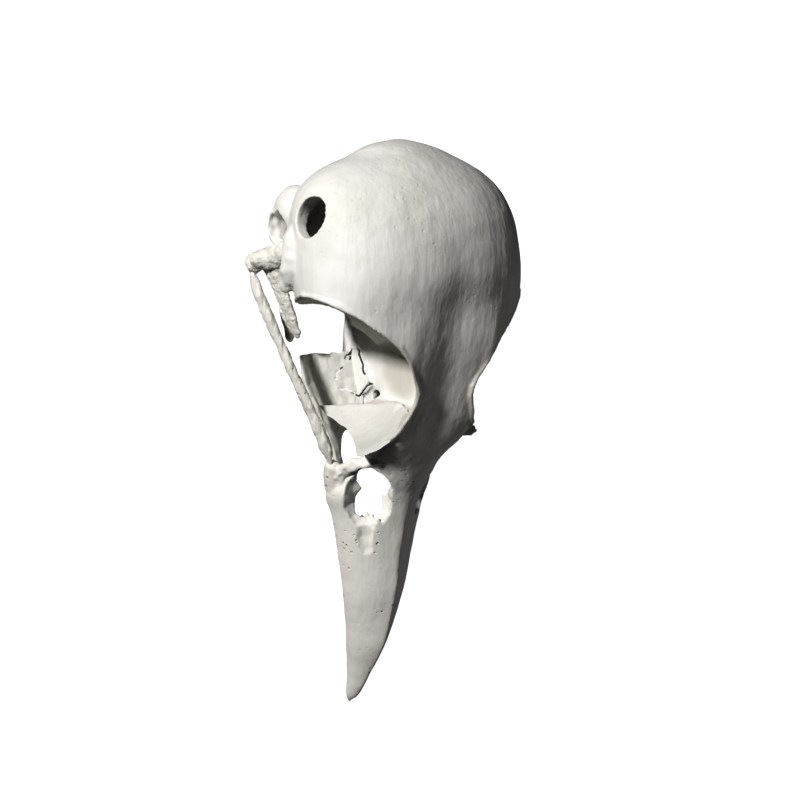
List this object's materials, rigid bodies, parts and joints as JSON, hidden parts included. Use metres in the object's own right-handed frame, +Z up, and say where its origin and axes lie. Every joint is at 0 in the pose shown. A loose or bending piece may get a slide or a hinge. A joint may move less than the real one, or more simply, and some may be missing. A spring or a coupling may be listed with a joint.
{
  "type": "bird skull (small crow)",
  "caption": "Life-size skull of a small crow without the lower jaw, resting on its jaw joints and beak tip, with drilled temples.",
  "frame": {"origin": "middle of the object's box on the floor that the skull rests on", "axes": "+X forwards along the beak, +Y to the skull's left, +Z up"},
  "size_m": [0.068, 0.0272, 0.0211],
  "materials": {
    "skull_bone": "dry pale bone, smooth and matte",
    "beak_bone": "dry pale bone, finely pored",
    "thin_bone": "thin dry bone, matte",
    "jaw_bone": "dry bone, slightly rough"
  },
  "bodies": {
    "root": {"cranium": "skull_bone", "beak": "beak_bone", "antorbital_wall_right": "thin_bone", "antorbital_wall_left": "thin_bone", "quadrate_right": "jaw_bone", "quadrate_left": "jaw_bone", "jugal_bar_right": "jaw_bone", "jugal_bar_left": "jaw_bone", "pterygoid_right": "jaw_bone", "pterygoid_left": "jaw_bone", "palatine_right": "thin_bone", "palatine_left": "thin_bone"}
  },
  "joints": []
}
